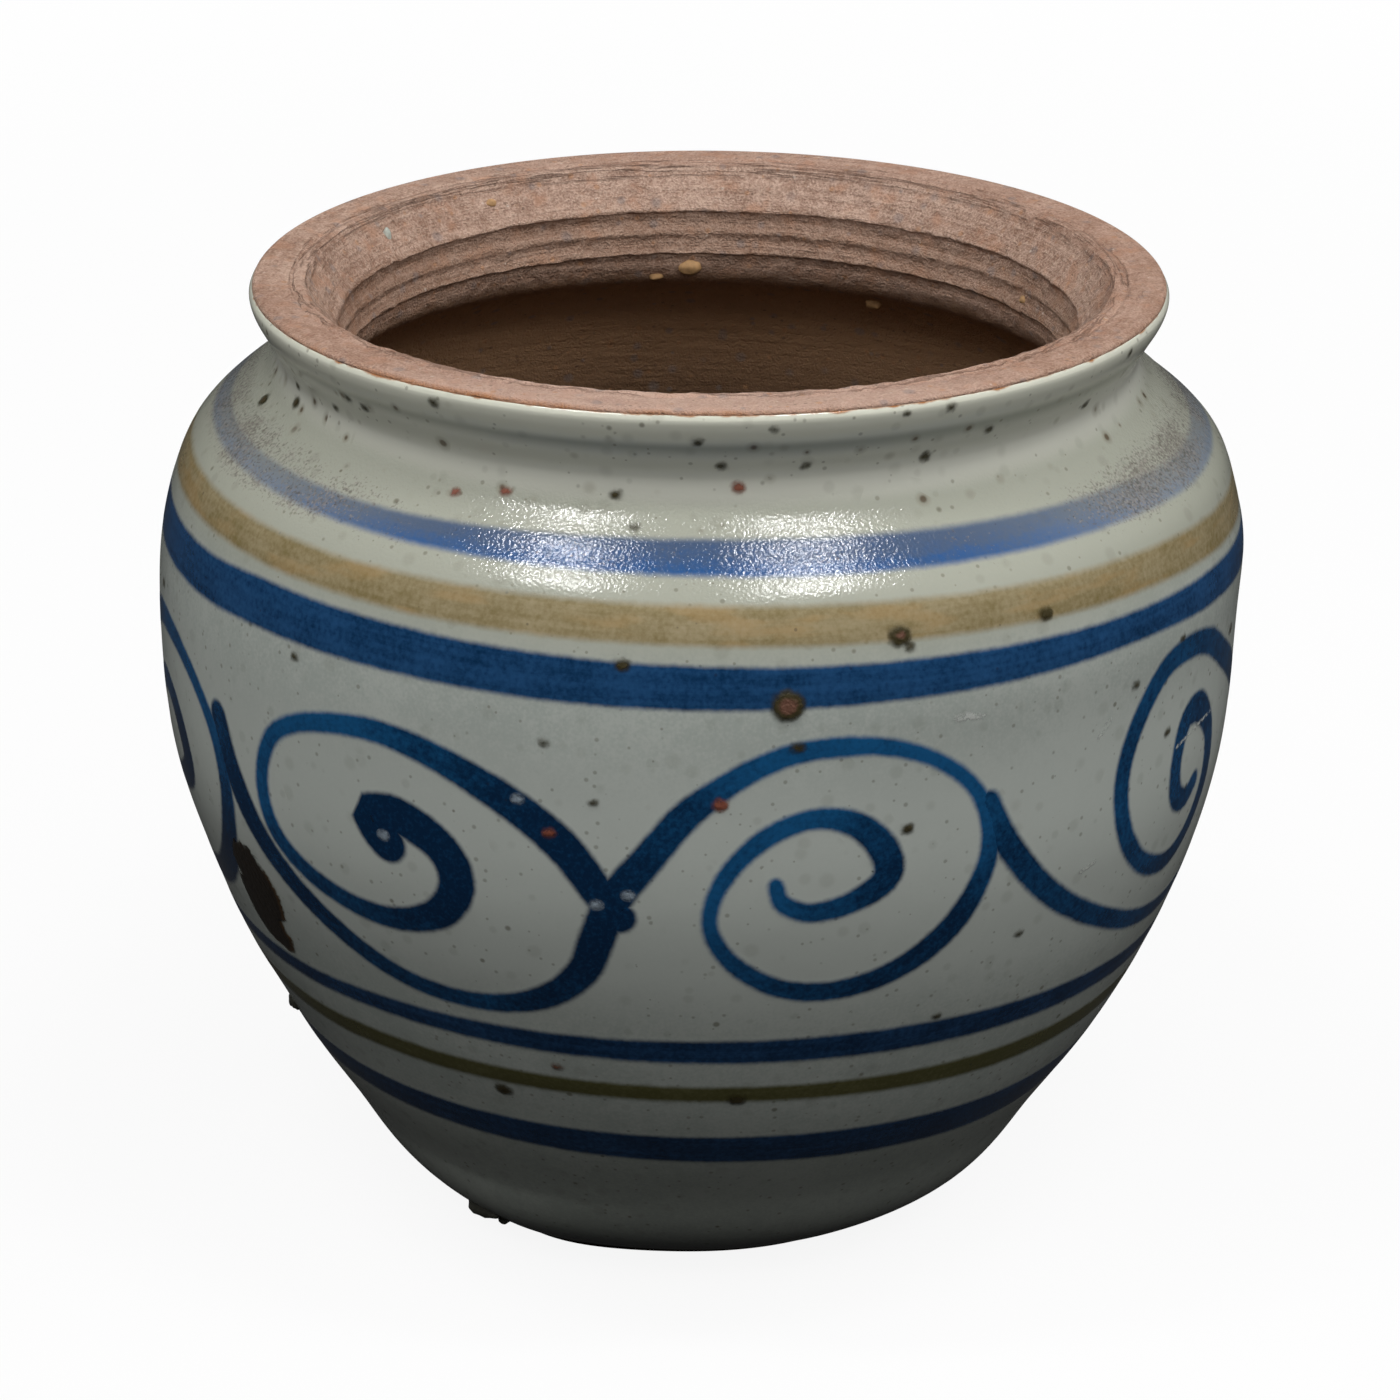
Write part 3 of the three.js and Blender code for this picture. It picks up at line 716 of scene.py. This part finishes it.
IRON_SPOTS = [  # angle, height, width, how far it stands up, how red it is, with -1 for a pale blister
    (8.5, 93, 3.6, 0.5, 0.5), (20, 100, 2.4, 0.4, 0.5), (21, 98.6, 0.9, 0.2, 0.5),
    (37, 99.5, 1.5, 0.4, 0.7), (-14.4, 75.9, 1.1, 0.2, 1), (2.2, 80.8, 1.5, 0.2, 0.9),
    (9.5, 87.8, 1.3, 0.2, 0.1), (21, 76, 1.2, 0.2, 0.4), (27.5, 47.5, 0.9, 0.2, 0.2),
    (36, 57.7, 0.9, 0.2, 0.2), (58, 90, 0.8, 0.2, 0.2), (56.5, 78, 1, 0.2, 0.2),
    (49.5, 87, 0.9, 0.2, 0.1), (-23.1, 35.2, 2, 0.2, 0), (5.2, 37.1, 1.8, 0.2, 0),
    (-15.5, 41, 1, 0.2, 0.8), (-15, 87.4, 0.8, 0.2, 0), (-10, 80.4, 0.8, 0.2, 0),
    (-31, 111.6, 1, 0.2, 1), (-24.5, 112.6, 1.1, 0.2, 1), (-10.7, 113.6, 1.1, 0.2, 0),
    (-0.9, 120.4, 0.9, 0.1, 0), (2, 117.4, 1, 0.1, 0.1), (4.2, 114.8, 1.3, 0.2, 0.9),
    (12.3, 117, 0.9, 0.1, 0.6), (28.2, 116.5, 1.2, 0.1, 0.1), (29.6, 122.4, 1, 0.1, 0.2),
    (36.8, 118.4, 0.9, 0.1, 0.5), (7.9, 121.8, 0.6, 0.1, 0), (23.7, 122.4, 0.6, 0.1, 0),
    (-75.3, 111.1, 1.8, 0.1, 0.4), (-65.9, 113.7, 1.6, 0.2, 0.5), (-66.6, 115.8, 1, 0.1, 0),
    (-54.3, 116.5, 0.9, 0.1, 0), (-49.1, 119, 0.9, 0.1, 0), (-46.2, 118.6, 1, 0.1, 0.2),
    (-33.1, 122, 1, 0.1, 0.5), (62.6, 122, 0.9, 0.1, 0.6), (56.7, 117, 1.1, 0.1, 0.3),
    (-8, 110.6, 0.9, 0.2, 0), (-44, 90.6, 0.9, 0.2, 0.5), (-7.6, 97.4, 1.4, 0.2, 0),
    (75, 84, 1.2, 0.2, 0.6), (102, 101, 1.6, 0.4, 0.5), (121, 63, 1.1, 0.2, 0.9),
    (148, 89, 1.3, 0.2, 0.2), (163, 52, 1.5, 0.3, 0.6), (199, 76, 1.2, 0.2, 0.1),
    (221, 114, 1, 0.2, 0.8), (236, 98, 1.8, 0.4, 0.4), (251, 68, 1, 0.2, 0.7), (268, 40, 1.4, 0.2, 0),
    (284, 87, 1, 0.2, 0.4), (-9.8, 66.9, 1.3, 0.1, -1), (-6.6, 68.5, 1.3, 0.1, -1),
    (-17.6, 79.8, 1.2, 0.1, -1), (-32.4, 71.3, 1.3, 0.1, -1),
]
marks = paint()
for angle, height, width, rise, rust in IRON_SPOTS:
    core = max(0.1, width - 0.5)
    path = [(angle - 0.15, height, core), (angle + 0.15, height, core)]
    brush_mark(marks, path, rise=rise, pace=0.35, tone=rust)
spots = made("iron_spots", marks, spot_finish())


# The burnt scar: a long patch at the left where the glaze crawled off in the fire. The clay under it
# turned dark brown and glassy, with an amber edge.
SCAR_BROWN = colour(0.02, 0.014, 0.009)
SCAR_AMBER = colour(0.1, 0.05, 0.014)


def scar_finish():
    made_of, shader, place, _ = material("burnt_scar", 0.35)
    edge = kept(made_of, "inset")
    rough = place.cloud(0.9, 4)
    amber = place.part(0).step(-54.6, -53) * (edge + rough).step(1.9, 1)
    tone = amber.mix(SCAR_BROWN, SCAR_AMBER)
    feed(shader, "Base Color", tone)
    feed(shader, "Alpha", (edge + (rough - 0.5) * 2).step(0.2, 1.1))
    feed(shader, "Normal", bump(rough, 0.2))
    return made_of


SCAR_PATH = [
    (-55.8, 57, 7), (-55, 55, 9.4), (-55.3, 52.3, 9), (-54.9, 49.6, 7.4), (-53.2, 47.8, 3.4),
]
scar = paint()
brush_mark(scar, SCAR_PATH, pace=0.5, rise=0.2)
burnt = made("burnt_scar", scar, scar_finish())


# The scuffs: four pale marks on the right side, where the jar was rubbed in use. Each is a thin streak
# of the glaze's own surface that has lost its shine.
SCUFF_GREY = colour(0.66, 0.68, 0.64)


def scuff_finish():
    made_of, shader, place, _ = material("scuffed_glaze", 0.5)
    edge = kept(made_of, "inset")
    shader.inputs["Base Color"].default_value = SCUFF_GREY
    feed(shader, "Alpha", edge.step(0.55, 1.15) * place.cloud(0.7, 3).step(0.35, 0.6) * 0.85)
    return made_of


SCUFFS = [  # places along each mark, with angle, height and width
    [(25.6, 89.3, 0.4), (27, 89.4, 0.7), (28.9, 89, 0.3)], [(44.1, 81.9, 0.3), (45.6, 83.7, 0.5)],
    [(68.3, 75.8, 0.1), (64, 75.7, 0.1), (59, 74.9, 0.1)], [(43.5, 64, 0.4), (45.4, 64.7, 0.3)],
]
scuffs = paint()
for path in SCUFFS:
    brush_mark(scuffs, path, rise=0.06, pace=0.4)
worn = made("scuffs", scuffs, scuff_finish())


# The crumbs: grains of clay and kiln grit that stuck to the jar in the fire, tan ones inside the neck
# and dark ones at the foot and low on the left. A drop of glaze fell on the bevel at the left.
LUMP_SHADE = 1.35  # how much lighter a lump is in places


def lump_finish(name, tone, roughness):
    made_of, shader, place, _ = material(name, roughness)
    shade = place.cloud(0.6, 3).step(0.3, 0.7)
    feed(shader, "Base Color", shade.mix(tone, colour(*[LUMP_SHADE * part for part in tone[:3]])))
    return made_of


def lump(shape, angle, radius, height, size):
    """A rough lump with its middle at a place, its size as widths round the jar, outwards and up."""
    turn = radians(angle)
    middle = Vector((radius * sin(turn), -radius * cos(turn), height))
    grown = bmesh.ops.create_icosphere(shape, subdivisions=3, radius=0.5)["verts"]
    for vert in grown:
        rough = 1 + 0.22 * noise.noise(vert.co * 3 + middle) + 0.12 * noise.noise(vert.co * 7 + middle)
        across, out, up = (rough * width * part for width, part in zip(size, vert.co))
        right = across * cos(turn) + out * sin(turn)
        back = across * sin(turn) - out * cos(turn)
        vert.co = by_hand(middle + Vector((right, back, up)))
    for face in shape.faces:
        face.smooth = True


LUMPS = {  # tone, roughness, slot and places: angle, radius, height and size
    "clay_crumbs": (colour(0.36, 0.215, 0.1), 0.8, "stoneware", [
        (-176.9, 47.4, 110.3, (3.2, 1.6, 2.2)), (-171.4, 48.4, 108.8, (2.2, 1.4, 1.4)),
        (154.4, 52.6, 105.5, (2.4, 1.8, 1.8)), (-143.5, 49.7, 121.5, (1.6, 1.2, 1.2)),
        (118, 47.2, 114, (1.4, 1, 1)), (-160, 47.2, 112.6, (1.6, 0.9, 0.9)),
    ]),
    "kiln_grit": (colour(0.05, 0.05, 0.04), 0.6, "stoneware", [
        (-67.5, 56.6, 31, (2.6, 1.8, 3)), (-42.8, 38.3, 5.2, (6, 3, 3)),
        (-39, 36.9, 3.8, (1.6, 1.6, 1.6)),
    ]),
    "glaze_drop": (colour(0.4, 0.42, 0.37), 0.2, "glaze", [(-120.2, 49.6, 120.9, (1.3, 1.3, 3))]),
}
for name, (tone, roughness, slot, places) in LUMPS.items():
    lumps = bmesh.new()
    for angle, radius, height, size in places:
        lump(lumps, angle, radius, height, size)
    stuck = made(name, lumps, lump_finish(name, tone, roughness))


# The setting: a plain floor that is white to the camera and dark to the light that bounces, lamps
# overhead at the front and the sides, and the camera of the photograph.
FLOOR_HALF = 3
FLOOR_PALE = colour(0.9, 0.9, 0.9)
FLOOR_DARK = colour(0.015, 0.015, 0.015)
WHITE = colour(1, 1, 1)
DIM = colour(0.012, 0.012, 0.012)
floor_shape = bmesh.new()
bmesh.ops.create_grid(floor_shape, x_segments=1, y_segments=1, size=FLOOR_HALF)
floor_mesh = bpy.data.meshes.new("floor")
floor_shape.to_mesh(floor_mesh)
floor_shape.free()
floor = bpy.data.objects.new("floor", floor_mesh)
bpy.context.scene.collection.objects.link(floor)

floor_paint = bpy.data.materials.new("pale_floor")
floor_paint.use_nodes = True
floor_mesh.materials.append(floor_paint)
nodes = floor_paint.node_tree.nodes
ray = nodes.new("ShaderNodeLightPath")
seen = Value(ray.outputs["Is Camera Ray"]).most(Value(ray.outputs["Is Transmission Ray"]))
seen = seen.most(Value(ray.outputs["Is Glossy Ray"]) * 0.01)
nodes["Principled BSDF"].inputs["Roughness"].default_value = 1
nodes["Principled BSDF"].inputs["Specular IOR Level"].default_value = 0
feed(nodes["Principled BSDF"], "Base Color", seen.mix(FLOOR_DARK, FLOOR_PALE))
glow = seen.node("ShaderNodeEmission", {}, {"Color": WHITE, "Strength": 1})
pale = nodes.new("ShaderNodeMixShader")
where = Value(nodes.new("ShaderNodeTexCoord").outputs["Object"])
away = where.node("ShaderNodeVectorMath", {"operation": "LENGTH"}, {0: where}, 1).step(0.2, 0.8)
floor_paint.node_tree.links.new((seen * (0.9 + 0.1 * away)).socket, pale.inputs[0])
floor_paint.node_tree.links.new(nodes["Principled BSDF"].outputs[0], pale.inputs[1])
floor_paint.node_tree.links.new(glow.socket, pale.inputs[2])
floor_paint.node_tree.links.new(pale.outputs[0], nodes["Material Output"].inputs["Surface"])

world = bpy.data.worlds.new("studio")
bpy.context.scene.world = world
world.use_nodes = True
sky = world.node_tree.nodes["Background"]
ray = world.node_tree.nodes.new("ShaderNodeLightPath")
seen = Value(ray.outputs["Is Camera Ray"]).most(Value(ray.outputs["Is Transmission Ray"]))
feed(sky, "Color", seen.mix(DIM, WHITE))


BELLY_MIDDLE = Vector((0, 0, 0.08))


def lamp(name, place, size, power, along=(1, 0, 0)):
    """A soft lamp that shines on the jar, with its width and depth and the way the width runs."""
    light = bpy.data.lights.new(name, "AREA")
    light.shape = "RECTANGLE"
    light.size, light.size_y = size
    light.energy = power
    stand = bpy.data.objects.new(name, light)
    back = (Vector(place) - BELLY_MIDDLE).normalized()
    across = back.cross(Vector(along)).normalized()
    turned_to = Matrix((across.cross(back), across, back)).transposed()
    stand.matrix_world = Matrix.Translation(place) @ turned_to.to_4x4()
    bpy.context.scene.collection.objects.link(stand)
    return stand


STRIP_DEPTH = 0.04
STRIPS = {  # place, length, power and the way the length runs: together they give the two highlights
    "left_upper_strip": ((-0.412, -0.319, 1.2), 0.33, 1.9, (-0.68, 0.73, 0)),
    "left_lower_strip": ((-0.402, -0.254, 1.2), 0.28, 1.6, (1, -0.06, 0)),
    "right_upper_strip": ((0.301, -0.331, 1.2), 0.35, 2, (0.65, 0.76, 0)),
    "right_lower_strip": ((0.308, -0.259, 1.2), 0.24, 1.5, (-0.99, -0.11, 0)),
}
for name, (place, length, power, along) in STRIPS.items():
    lamp(name, place, (length, STRIP_DEPTH), power, along).visible_diffuse = False
for name, place in ("left_lamp", (-0.407, -0.287, 1.2)), ("right_lamp", (0.305, -0.295, 1.2)):
    lamp(name, place, (0.3, 0.1), 2.2).visible_glossy = False
RING_LAMPS = [(-112, 3.5), (-55, 4.6), (2, 5.8), (60, 5.8), (116, 5)]  # bearing and power
for bearing, power in RING_LAMPS:
    turn = radians(bearing)
    ring_lamp = lamp(f"ring_lamp_{bearing}", (sin(turn), -cos(turn), 1), (0.8, 0.8), power)
    ring_lamp.visible_glossy = False

CAMERA_PLACE = (0, -0.58332, 0.30416)
CAMERA_DOWN = radians(22.263)
CAMERA_ROLL = radians(1.144)
view = bpy.data.cameras.new("camera")
view.lens = 122.88
view.sensor_width = 36
camera = bpy.data.objects.new("camera", view)
tilt = Matrix.Rotation(pi / 2 - CAMERA_DOWN, 4, "X") @ Matrix.Rotation(CAMERA_ROLL, 4, "Z")
camera.matrix_world = Matrix.Translation(CAMERA_PLACE) @ tilt
bpy.context.scene.collection.objects.link(camera)
bpy.context.scene.camera = camera
bpy.context.scene.view_settings.view_transform = "Standard"
